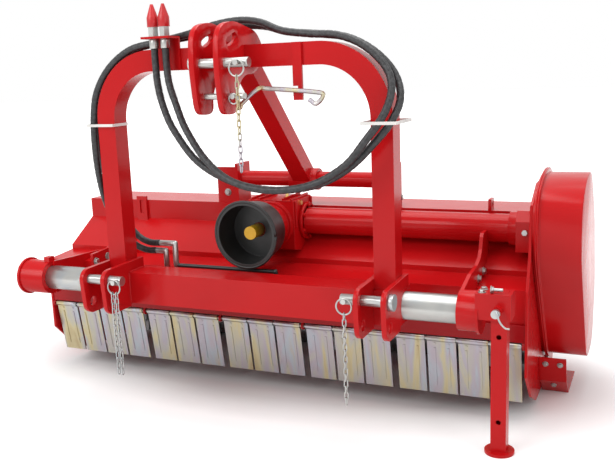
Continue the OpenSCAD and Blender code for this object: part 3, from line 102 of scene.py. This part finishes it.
class Shader:
    """A principled material with a few shortcuts for its node tree."""

    def __init__(self, name):
        self.material = bpy.data.materials.new(name)
        self.material.use_nodes = True
        self.tree = self.material.node_tree
        self.surface = self.tree.nodes["Principled BSDF"]

    def add(self, kind, **inputs):
        node = self.tree.nodes.new(kind)
        for key, value in inputs.items():
            self.put(node, key.replace("_", " "), value)
        return node

    def put(self, node, key, value):
        socket = node.inputs[key]
        if isinstance(value, bpy.types.NodeSocket):
            self.tree.links.new(value, socket)
        else:
            socket.default_value = value

    def set(self, **inputs):
        for key, value in inputs.items():
            if isinstance(value, tuple) and len(value) == 3:
                value = (*value, 1.0)
            self.put(self.surface, key.replace("_", " "), value)
        return self

    def place(self, stretch=EVEN, shift=(0.0, 0.0, 0.0)):
        coordinates = self.add("ShaderNodeTexCoord").outputs["Object"]
        mapping = self.add("ShaderNodeMapping", Scale=stretch, Location=shift, Vector=coordinates)
        return mapping.outputs["Vector"]

    def noise(self, scale, detail, stretch=EVEN, distortion=0.0):
        node = self.add("ShaderNodeTexNoise", Scale=scale, Detail=detail, Distortion=distortion,
                        Vector=self.place(stretch))
        return node.outputs["Fac"]

    def ramp(self, factor, stops):
        node = self.add("ShaderNodeValToRGB", Fac=factor)
        elements = node.color_ramp.elements
        while len(elements) < len(stops):
            elements.new(0.5)
        for element, (place, colour) in zip(elements, stops):
            element.position = place
            element.color = (*colour, 1.0)
        return node.outputs["Color"]

    def spread(self, factor, low, high):
        node = self.add("ShaderNodeMapRange", Value=factor, To_Min=low, To_Max=high)
        return node.outputs["Result"]

    def reach(self, vector):
        node = self.add("ShaderNodeVectorMath")
        node.operation = "LENGTH"
        self.tree.links.new(vector, node.inputs[0])
        return node.outputs["Value"]

    def product(self, a, b):
        node = self.add("ShaderNodeMath")
        node.operation = "MULTIPLY"
        self.tree.links.new(a, node.inputs[0])
        self.tree.links.new(b, node.inputs[1])
        return node.outputs["Value"]

    def bump(self, height, strength, distance):
        node = self.add("ShaderNodeBump", Strength=strength, Distance=distance, Height=height)
        self.put(self.surface, "Normal", node.outputs["Normal"])
        return self


def shade(colour, factor):
    """A colour made darker or lighter."""
    return tuple(min(1.0, c * factor) for c in colour)


def paint(name, colour):
    """Glossy paint with faint clouds in its colour and a fine skin."""
    s = Shader(name)
    cloud = s.noise(3.0, 4.0)
    tint = s.ramp(cloud, [(0.3, shade(colour, 0.9)), (0.7, shade(colour, 1.08))])
    s.set(Base_Color=tint, Roughness=s.spread(s.noise(22.0, 5.0), 0.16, 0.28))
    s.set(Specular_IOR_Level=0.20)
    return s.bump(s.noise(260.0, 2.0), 0.06, 0.0006).material


def plated(name, stops, roughness, streak):
    """A plated metal whose colour runs through several stops."""
    s = Shader(name)
    tint = s.ramp(s.noise(7.0, 5.0, streak, 0.6), stops)
    s.set(Base_Color=tint, Metallic=0.9)
    s.set(Roughness=s.spread(s.noise(40.0, 4.0, streak), roughness - 0.08, roughness + 0.1))
    return s.bump(s.noise(300.0, 3.0), 0.05, 0.0004).material


def plastic(name, colour, roughness, grain):
    """Moulded plastic with a grained skin."""
    s = Shader(name)
    tint = s.ramp(s.noise(9.0, 4.0), [(0.3, shade(colour, 0.8)), (0.7, shade(colour, 1.15))])
    s.set(Base_Color=tint, Roughness=s.spread(s.noise(30.0, 3.0), roughness - 0.06, roughness + 0.1))
    return s.bump(s.noise(grain, 3.0), 0.12, 0.0006).material


def metal(name, colour, roughness):
    """Bare metal with slight clouds in its colour."""
    s = Shader(name)
    tint = s.ramp(s.noise(14.0, 5.0), [(0.3, shade(colour, 0.82)), (0.7, shade(colour, 1.1))])
    s.set(Base_Color=tint, Metallic=1.0)
    s.set(Roughness=s.spread(s.noise(60.0, 4.0), roughness - 0.08, roughness + 0.1))
    return s.bump(s.noise(220.0, 4.0), 0.08, 0.0005).material


def sleeve(name):
    """Black rubber of the hoses and belts."""
    s = Shader(name)
    fine = s.noise(420.0, 2.0)
    stops = [(0.35, (0.008, 0.008, 0.009)), (0.75, (0.045, 0.045, 0.048))]
    s.set(Base_Color=s.ramp(s.noise(120.0, 4.0), stops))
    s.set(Roughness=s.spread(s.noise(90.0, 3.0), 0.34, 0.6))
    return s.bump(fine, 0.35, 0.0008).material


ZINC = [(0.25, (0.33, 0.34, 0.34)), (0.5, (0.45, 0.45, 0.43)), (0.75, (0.35, 0.39, 0.42))]
GOLD = [(0.28, (0.42, 0.34, 0.20)), (0.40, (0.50, 0.44, 0.27)), (0.48, (0.42, 0.41, 0.36)),
        (0.56, (0.40, 0.36, 0.40)), (0.64, (0.38, 0.42, 0.46)), (0.74, (0.44, 0.38, 0.30))]

SLOTS = {
    "red_paint": paint("red_paint", RED),
    "dark_red_paint": paint("dark_red_paint", DARK_RED),
    "zinc": plated("zinc", ZINC, 0.30, EVEN),
    "yellow_zinc": plated("yellow_zinc", GOLD, 0.34, UPRIGHT),
    "steel": metal("steel", (0.30, 0.30, 0.31), 0.42),
    "chrome": metal("chrome", (0.78, 0.78, 0.79), 0.12),
    "cast_iron": metal("cast_iron", (0.12, 0.12, 0.125), 0.55),
    "brass": metal("brass", (0.72, 0.50, 0.18), 0.30),
    "black_plastic": plastic("black_plastic", (0.013, 0.013, 0.013), 0.40, 180.0),
    "yellow_plastic": plastic("yellow_plastic", (0.66, 0.38, 0.012), 0.36, 160.0),
    "red_plastic": plastic("red_plastic", (0.55, 0.012, 0.016), 0.32, 160.0),
    "white_plastic": plastic("white_plastic", (0.80, 0.78, 0.75), 0.40, 160.0),
    "rubber": sleeve("rubber"),
}

for part in frame["record"]["subparts"]:
    piece = NODES[part["node"]]
    piece.data.materials.clear()
    piece.data.materials.append(SLOTS[part["material_slot"]])

# Rounded edges: the nodes that get each width
EDGES = {
    0.0022: ["hitch_beam", "brace", "stand_leg", "belt_box", "belt_cover", "gearbox_housing"],
    0.0014: ["hood_shell", "left_side_plate", "right_side_plate", "left_carrier", "right_carrier",
             "link_plates", "top_link_plates", "rear_guide", "skids", "drive_tube", "flap_beam",
             "cylinder_barrel"],
    0.0008: ["pto_guard", "shaft_cap", "hose_couplers", "dust_caps", "slide_tube", "hitch_pins",
             "stand_pin", "flap_bank_1", "flap_bank_2", "flap_bank_3", "flap_bank_4", "flap_bank_5",
             "deck_bolts", "gearbox_plugs", "hydraulic_fittings"],
}
EDGE_MERGE = 0.00002
EDGE_SEGMENTS = 2
EDGE_ANGLE = math.radians(38)


def round_edges(piece, width):
    weld = piece.modifiers.new("weld", "WELD")
    weld.merge_threshold = EDGE_MERGE
    bevel = piece.modifiers.new("bevel", "BEVEL")
    bevel.width = width
    bevel.segments = EDGE_SEGMENTS
    bevel.limit_method = "ANGLE"
    bevel.angle_limit = EDGE_ANGLE
    bevel.use_clamp_overlap = True
    bevel.harden_normals = True


for width, names in EDGES.items():
    for name in names:
        round_edges(NODES[name], width)

# Outlines with round corners are shaded as curves
for name in ("belt_box", "belt_cover", "top_link_plates"):
    for face in NODES[name].data.polygons:
        face.use_smooth = True


# Curves and tubes

def smooth_path(points, step):
    """Points along a smooth curve through the given ones, a step apart or less."""
    path = []
    last = len(points) - 1
    for i in range(last):
        b, c = points[i], points[i + 1]
        a = points[i - 1] if i else 2 * b - c
        d = points[i + 2] if i + 1 < last else 2 * c - b
        count = max(1, round((c - b).length / step))
        for j in range(count):
            t = j / count
            path.append(0.5 * (2 * b + (c - a) * t + (2 * a - 5 * b + 4 * c - d) * t ** 2
                               + (3 * b - a - 3 * c + d) * t ** 3))
    path.append(points[-1])
    return path


def tube(name, path, sides, radius_at):
    """A closed tube along a path, whose radius is radius_at(distance, angle)."""
    mesh = bmesh.new()
    rings = []
    side = Vector((1.0, 0.0, 0.0))
    distance = 0.0
    for i, point in enumerate(path):
        ahead = (path[min(i + 1, len(path) - 1)] - path[max(i - 1, 0)]).normalized()
        side = (side - ahead * side.dot(ahead)).normalized()
        up = ahead.cross(side)
        if i:
            distance += (point - path[i - 1]).length
        ring = []
        for k in range(sides):
            angle = 2 * math.pi * k / sides
            radius = radius_at(distance, angle)
            ring.append(mesh.verts.new(point + radius * (math.cos(angle) * side + math.sin(angle) * up)))
        rings.append(ring)
    for a, b in zip(rings, rings[1:]):
        for k in range(sides):
            n = (k + 1) % sides
            mesh.faces.new((a[k], a[n], b[n], b[k]))
    mesh.faces.new(list(reversed(rings[0])))
    mesh.faces.new(rings[-1])
    for face in mesh.faces:
        face.smooth = len(face.verts) == 4
    return finish_mesh(name, mesh)


def finish_mesh(name, mesh):
    bmesh.ops.recalc_face_normals(mesh, faces=mesh.faces)
    data = bpy.data.meshes.new(name)
    mesh.to_mesh(data)
    mesh.free()
    piece = bpy.data.objects.new(name, data)
    bpy.context.scene.collection.objects.link(piece)
    return piece


def wear(piece, slot, body):
    piece.data.materials.append(SLOTS[slot])
    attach(piece, body)
    return piece


# Hoses with a spiral wrap

def wrap_radius(distance, angle):
    """Radius of a hose with a spiral groove between the turns of its wrap."""
    turn = (distance / WRAP_PITCH - angle / (2 * math.pi)) % 1.0
    groove = max(0.0, 1.0 - abs(turn - 0.5) / WRAP_GROOVE)
    return HOSE_RADIUS - WRAP_DEPTH * groove ** WRAP_EASE


def make_hoses():
    for name, route in HOSE_ROUTES.items():
        points = [HITCH + Vector(p) for p in reversed(route)]
        path = smooth_path(points, HOSE_STEP)
        piece = wear(tube(name + "_wrap", path, HOSE_SIDES, wrap_radius), "rubber", "frame")
        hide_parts(name)


make_hoses()


# Fasteners and welds

# Sides of round and hexagonal pieces, and the count up to which sides stay flat
WASHER_SIDES = 24
HEX_SIDES = 6
STUD_SIDES = 16
FLAT_SIDES = 8

# Weld beads: pitch, least radius and swell in shares of the radius, and steps in shares of the pitch
BEAD_PITCH = 0.9
BEAD_LOW = 0.82
BEAD_SWELL = 0.2
BEAD_STEP = 0.34
BEAD_SIDES = 8

# Rings of wire and small plates
RING_STEPS = 48
RING_SIDES = 12
PLATE_EDGE = 0.0012


def deck(x, y, z):
    return DECK + Vector((x, y, z))


def hitch(x, y, z):
    return HITCH + Vector((x, y, z))


def facing(axis):
    return Vector(axis).to_track_quat("Z", "Y").to_matrix()


def turned(mesh, place, axis, profile, sides):
    """Adds a solid of revolution, or a prism with few sides, from (radius, height) pairs along an axis."""
    spin = facing(axis)
    rings = []
    for radius, height in profile:
        ring = []
        for k in range(sides):
            angle = 2 * math.pi * k / sides
            point = Vector((radius * math.cos(angle), radius * math.sin(angle), height))
            ring.append(mesh.verts.new(place + spin @ point))
        rings.append(ring)
    smooth = sides > FLAT_SIDES
    for a, b in zip(rings, rings[1:]):
        for k in range(sides):
            n = (k + 1) % sides
            mesh.faces.new((a[k], a[n], b[n], b[k])).smooth = smooth
    mesh.faces.new(list(reversed(rings[0])))
    mesh.faces.new(rings[-1])


def hex_head(mesh, place, axis, size):
    """A washer with a chamfered hexagon head on it."""
    washer = [(size * 1.12, 0.0), (size * 1.12, size * 0.16), (size * 1.06, size * 0.2)]
    head = [(size * 0.88, size * 0.2), (size * 0.88, size * 0.72), (size * 0.74, size * 0.84)]
    turned(mesh, place, axis, washer, WASHER_SIDES)
    turned(mesh, place, axis, head, HEX_SIDES)


def stud(mesh, place, axis, size, length):
    """A threaded end that stands out of a nut."""
    hex_head(mesh, place, axis, size)
    pitch = size * 0.16
    profile = [(size * 0.46, size * 0.8)]
    height = size * 0.8
    while height < length:
        profile += [(size * 0.5, height + pitch * 0.5), (size * 0.44, height + pitch)]
        height += pitch
    turned(mesh, place, axis, profile, STUD_SIDES)


def fasteners(name, heads, slot, body):
    """One piece of many heads: (place, axis, size) or (place, axis, size, stud length)."""
    mesh = bmesh.new()
    for place, axis, size, *length in heads:
        if length:
            stud(mesh, place, axis, size, length[0])
        else:
            hex_head(mesh, place, axis, size)
    return wear(finish_mesh(name, mesh), slot, body)


def weld(name, lines, radius, body):
    """Rippled and painted beads along straight lines, as one piece."""
    pitch = radius * BEAD_PITCH

    def ripple(distance, angle):
        return radius * (BEAD_LOW + BEAD_SWELL * abs(math.sin(math.pi * distance / pitch)))

    mesh = bmesh.new()
    for a, b in lines:
        count = max(2, int((b - a).length / (pitch * BEAD_STEP)))
        path = [a.lerp(b, i / count) for i in range(count + 1)]
        bead = tube(name + "_bead", path, BEAD_SIDES, ripple)
        mesh.from_mesh(bead.data)
        bpy.data.objects.remove(bead)
    return wear(finish_mesh(name, mesh), "red_paint", body)


def ring_of_wire(name, middle, axis, radius, wire, slot, body):
    """A round wire bent to a full ring."""
    spin = facing(axis)
    path = []
    for k in range(RING_STEPS + 1):
        angle = 2 * math.pi * k / RING_STEPS
        path.append(middle + spin @ Vector((radius * math.cos(angle), radius * math.sin(angle), 0.0)))
    return wear(tube(name, path, RING_SIDES, lambda distance, angle: wire), slot, body)


def plates(name, boxes, slot, body):
    """Small plain plates given by two opposite corners each, as one piece."""
    mesh = bmesh.new()
    for low, high in boxes:
        middle = Matrix.Translation((low + high) / 2)
        bmesh.ops.create_cube(mesh, size=1.0, matrix=middle @ Matrix.Diagonal((*(high - low), 1.0)))
    piece = wear(finish_mesh(name, mesh), slot, body)
    bevel = piece.modifiers.new("bevel", "BEVEL")
    bevel.width = PLATE_EDGE
    bevel.segments = EDGE_SEGMENTS
    return piece


RIGHT = (1, 0, 0)
FRONT = (0, -1, 0)
UP = (0, 0, 1)

# Sizes of nuts and bolt heads, and how far a stud stands out
LARGE_HEAD = 0.011
MEDIUM_HEAD = 0.009
SKID_HEAD = 0.008
FLANGE_HEAD = 0.007
STUD_LENGTH = 0.030

# Directions that the two front faces of a skid look in
SKID_UPPER = (0.0, -0.945, -0.327)
SKID_LOWER = (0.0, -0.669, -0.743)

# Middle of the drive shaft, and the flange on the gearbox's right side
DRIVE_Y = 0.190
DRIVE_Z = 0.527
FLANGE_BACK_X = 0.0802
FLANGE_PROFILE = [(0.0600, 0.0), (0.0600, 0.010), (0.0588, 0.0118)]
FLANGE_SIDES = 48
FLANGE_FACE_X = 0.092
FLANGE_BOLT_CIRCLE = 0.051
FLANGE_BOLT_DEGREES = range(30, 390, 60)

# Fins on the top and on the right side of the gearbox
FIN_THICK = 0.007
TOP_FIN_PLACES = (-0.072, -0.045, 0.038, 0.065)
TOP_FIN_Y = (0.104, 0.236)
TOP_FIN_Z = (0.604, 0.611)
SIDE_FIN_PLACES = (0.106, 0.228)
SIDE_FIN_X = (0.080, 0.086)
SIDE_FIN_Z = (0.520, 0.600)

# Rim of the guard cone
RIM_Y = -0.078
RIM_RADIUS = 0.1000
RIM_WIRE = 0.0042

# Spring clip of the stand
CLIP_STEP = 0.003
CLIP_WIRE = 0.0024
CLIP_SIDES = 10

# Feet of the arch's legs and the link plates beside them, where the welds run
LEG_X = 0.428
LEG_HALF = 0.030
LEG_Y = (-0.130, -0.190)
PLATE_OFFSET = 0.0445
PLATE_Y = (-0.120, -0.197)
PLATE_FRONT_Y = -0.1985
PLATE_FRONT_Z = (0.418, 0.328)
WELD_TOP = 0.4205
WELD_RADIUS = 0.0030

# Faces of the hydraulic fittings that belong to the hard line: right of the first, below the second
PIPE_LEFT = -0.290
PIPE_TOP = 0.4245

fasteners("carrier_nuts", [
    (deck(-0.562, -0.072, 0.414), RIGHT, LARGE_HEAD), (deck(-0.562, -0.010, 0.418), RIGHT, LARGE_HEAD),
    (deck(0.672, 0.094, 0.418), RIGHT, LARGE_HEAD), (deck(0.672, 0.028, 0.412), RIGHT, LARGE_HEAD),
    (deck(0.750, -0.192, 0.4435), RIGHT, MEDIUM_HEAD, STUD_LENGTH),
    (deck(0.727, -0.190, 0.434), UP, MEDIUM_HEAD), (deck(0.727, -0.162, 0.434), UP, MEDIUM_HEAD)],
    "zinc", "deck")

GUIDE_BOLTS = [(deck(-0.236, 0.255, z), FRONT, LARGE_HEAD) for z in (0.602, 0.648)]
fasteners("guide_bolts", GUIDE_BOLTS, "zinc", "deck")

# The first one sits on the right side plate, the others on the skids
SKID_BOLTS = [(deck(0.8165, 0.163, 0.331), RIGHT, MEDIUM_HEAD)]
for x in (-0.878, -0.836, 0.836, 0.878):
    SKID_BOLTS.append((deck(x, 0.2061, 0.1165), SKID_UPPER, SKID_HEAD))
for x in (-0.857, 0.857):
    SKID_BOLTS.append((deck(x, 0.2460, 0.0393), SKID_LOWER, SKID_HEAD))
fasteners("skid_bolts", SKID_BOLTS, "zinc", "deck")

FLANGE_BOLTS = []
for degrees in FLANGE_BOLT_DEGREES:
    turn = math.radians(degrees)
    y = DRIVE_Y + FLANGE_BOLT_CIRCLE * math.cos(turn)
    z = DRIVE_Z + FLANGE_BOLT_CIRCLE * math.sin(turn)
    FLANGE_BOLTS.append((deck(FLANGE_FACE_X, y, z), RIGHT, FLANGE_HEAD))
fasteners("flange_bolts", FLANGE_BOLTS, "red_paint", "deck")


def make_flange():
    mesh = bmesh.new()
    turned(mesh, deck(FLANGE_BACK_X, DRIVE_Y, DRIVE_Z), RIGHT, FLANGE_PROFILE, FLANGE_SIDES)
    wear(finish_mesh("gearbox_flange", mesh), "red_paint", "deck")


def make_fins():
    fins = []
    for x in TOP_FIN_PLACES:
        low = deck(x, TOP_FIN_Y[0], TOP_FIN_Z[0])
        high = deck(x + FIN_THICK, TOP_FIN_Y[1], TOP_FIN_Z[1])
        fins.append((low, high))
    for y in SIDE_FIN_PLACES:
        low = deck(SIDE_FIN_X[0], y, SIDE_FIN_Z[0])
        high = deck(SIDE_FIN_X[1], y + FIN_THICK, SIDE_FIN_Z[1])
        fins.append((low, high))
    plates("gearbox_fins", fins, "red_paint", "deck")


def make_spring_clip():
    points = [deck(0.771, -0.2435, 0.403), deck(0.777, -0.2495, 0.397), deck(0.780, -0.2505, 0.385),
              deck(0.787, -0.2495, 0.372), deck(0.797, -0.2465, 0.362), deck(0.806, -0.2445, 0.361)]
    path = smooth_path(points, CLIP_STEP)
    wear(tube("stand_clip", path, CLIP_SIDES, lambda distance, angle: CLIP_WIRE), "zinc", "stand_lock")


def leg_welds():
    """Beads at the legs' feet and the link plates, except the outer right one, which passes the carrier."""
    lines = []
    for x, offsets in ((-LEG_X, (-PLATE_OFFSET, PLATE_OFFSET)), (LEG_X, (-PLATE_OFFSET,))):
        left, right = x - LEG_HALF, x + LEG_HALF
        back, front = LEG_Y
        corners = [hitch(left, back, WELD_TOP), hitch(left, front, WELD_TOP),
                   hitch(right, front, WELD_TOP), hitch(right, back, WELD_TOP)]
        lines += list(zip(corners, corners[1:]))
        for offset in offsets:
            side = x + offset
            lines.append((hitch(side, PLATE_Y[0], WELD_TOP), hitch(side, PLATE_Y[1], WELD_TOP)))
            lines.append((hitch(side, PLATE_FRONT_Y, PLATE_FRONT_Z[0]),
                          hitch(side, PLATE_FRONT_Y, PLATE_FRONT_Z[1])))
    return lines


def blacken_pipe():
    """Gives the hard hydraulic line its own black look."""
    data = NODES["hydraulic_fittings"].data
    data.materials.append(SLOTS["black_plastic"])
    turn = NODES["hydraulic_fittings"].matrix_world
    left = hitch(PIPE_LEFT, 0.0, 0.0).x
    for face in data.polygons:
        middle = turn @ face.center
        if middle.x > left and middle.z < PIPE_TOP:
            face.material_index = 1


make_flange()
make_fins()
ring_of_wire("guard_rim", deck(0.0, RIM_Y, DRIVE_Z), FRONT, RIM_RADIUS, RIM_WIRE, "black_plastic", "deck")
make_spring_clip()
weld("leg_welds", leg_welds(), WELD_RADIUS, "frame")
blacken_pipe()


# Camera

def make_camera():
    data = bpy.data.cameras.new("camera")
    data.sensor_width = SENSOR_WIDTH
    data.sensor_fit = "HORIZONTAL"
    data.lens = SENSOR_WIDTH * FOCAL_PIXELS / IMAGE_WIDTH
    camera = bpy.data.objects.new("camera", data)
    bpy.context.scene.collection.objects.link(camera)
    level = math.cos(CAMERA_PITCH)
    ahead = Vector((-math.sin(CAMERA_TURN) * level, math.cos(CAMERA_TURN) * level, -math.sin(CAMERA_PITCH)))
    right = Vector((math.cos(CAMERA_TURN), math.sin(CAMERA_TURN), 0.0))
    up = right.cross(ahead)
    tilted_right = right * math.cos(CAMERA_ROLL) + up * math.sin(CAMERA_ROLL)
    tilted_up = up * math.cos(CAMERA_ROLL) - right * math.sin(CAMERA_ROLL)
    turn = Matrix((tilted_right, tilted_up, -ahead)).transposed()
    camera.matrix_world = Matrix.Translation(CAMERA_PLACE) @ turn.to_4x4()
    bpy.context.scene.camera = camera


# Floor, backdrop and light

FLOOR_SIZE = 60.0
FLOOR_SHADE = (0.80, 0.80, 0.80)
FLOOR_GLOW_NEAR = 0.34
FLOOR_GLOW_FAR = 1.0
FADE_NEAR = 1.0
FADE_FAR = 2.6

# Oval under the deck in which the floor doesn't glow
DECK_STRETCH = (0.45, 1.0, 1.0)
DECK_SHIFT = (0.0, -0.17, 0.0)
UNDER_DECK = 0.34
CLEAR_OF_DECK = 0.52

# Light of the world, and lamps by name, place, target, size and power
SKY_LIGHT = 0.62
LAMPS = [
    ("key", (-1.6, -3.2, 2.8), (0.0, 0.0, 0.5), (2.4, 2.0), 70.0),
    ("top", (0.3, 0.2, 3.2), (0.1, 0.1, 0.0), (3.2, 2.0), 60.0),
    ("side", (3.2, -1.4, 1.8), (0.3, 0.0, 0.5), (1.6, 1.8), 14.0),
]


def seen_directly(tree):
    """One where a ray comes straight from the camera, a mirror or glass, and zero elsewhere."""
    rays = tree.nodes.new("ShaderNodeLightPath")
    total = None
    for key in ("Is Camera Ray", "Is Glossy Ray", "Is Transmission Ray"):
        if total is None:
            total = rays.outputs[key]
            continue
        node = tree.nodes.new("ShaderNodeMath")
        node.operation = "MAXIMUM"
        tree.links.new(total, node.inputs[0])
        tree.links.new(rays.outputs[key], node.inputs[1])
        total = node.outputs["Value"]
    return total


def make_floor():
    bpy.ops.mesh.primitive_plane_add(size=FLOOR_SIZE)
    floor = bpy.context.object
    floor.name = "floor"
    s = Shader("floor")
    s.set(Base_Color=FLOOR_SHADE, Roughness=0.9, Specular_IOR_Level=0.1)
    far = s.add("ShaderNodeMapRange", Value=s.reach(s.place()), From_Min=FADE_NEAR, From_Max=FADE_FAR,
                To_Min=FLOOR_GLOW_NEAR, To_Max=FLOOR_GLOW_FAR)
    under = s.reach(s.place(DECK_STRETCH, DECK_SHIFT))
    clear = s.add("ShaderNodeMapRange", Value=under, From_Min=UNDER_DECK, From_Max=CLEAR_OF_DECK)
    glow = s.product(far.outputs["Result"], clear.outputs["Result"])
    s.set(Emission_Color=WHITE, Emission_Strength=s.product(seen_directly(s.tree), glow))
    floor.data.materials.append(s.material)


def make_world():
    world = bpy.data.worlds.new("studio")
    bpy.context.scene.world = world
    world.use_nodes = True
    tree = world.node_tree
    sky = tree.nodes["Background"]
    sky.inputs["Color"].default_value = (*WHITE, 1.0)
    strength = tree.nodes.new("ShaderNodeMapRange")
    tree.links.new(seen_directly(tree), strength.inputs["Value"])
    strength.inputs["To Min"].default_value = SKY_LIGHT
    strength.inputs["To Max"].default_value = 1.0
    tree.links.new(strength.outputs["Result"], sky.inputs["Strength"])


def make_lamp(name, place, target, size, power):
    data = bpy.data.lights.new(name, "AREA")
    data.shape = "RECTANGLE"
    data.size = size[0]
    data.size_y = size[1]
    data.energy = power
    lamp = bpy.data.objects.new(name, data)
    lamp.location = place
    lamp.rotation_euler = (Vector(target) - Vector(place)).to_track_quat("-Z", "Y").to_euler()
    bpy.context.scene.collection.objects.link(lamp)


make_camera()
make_floor()
make_world()
for lamp in LAMPS:
    make_lamp(*lamp)
bpy.context.scene.view_settings.view_transform = "Standard"
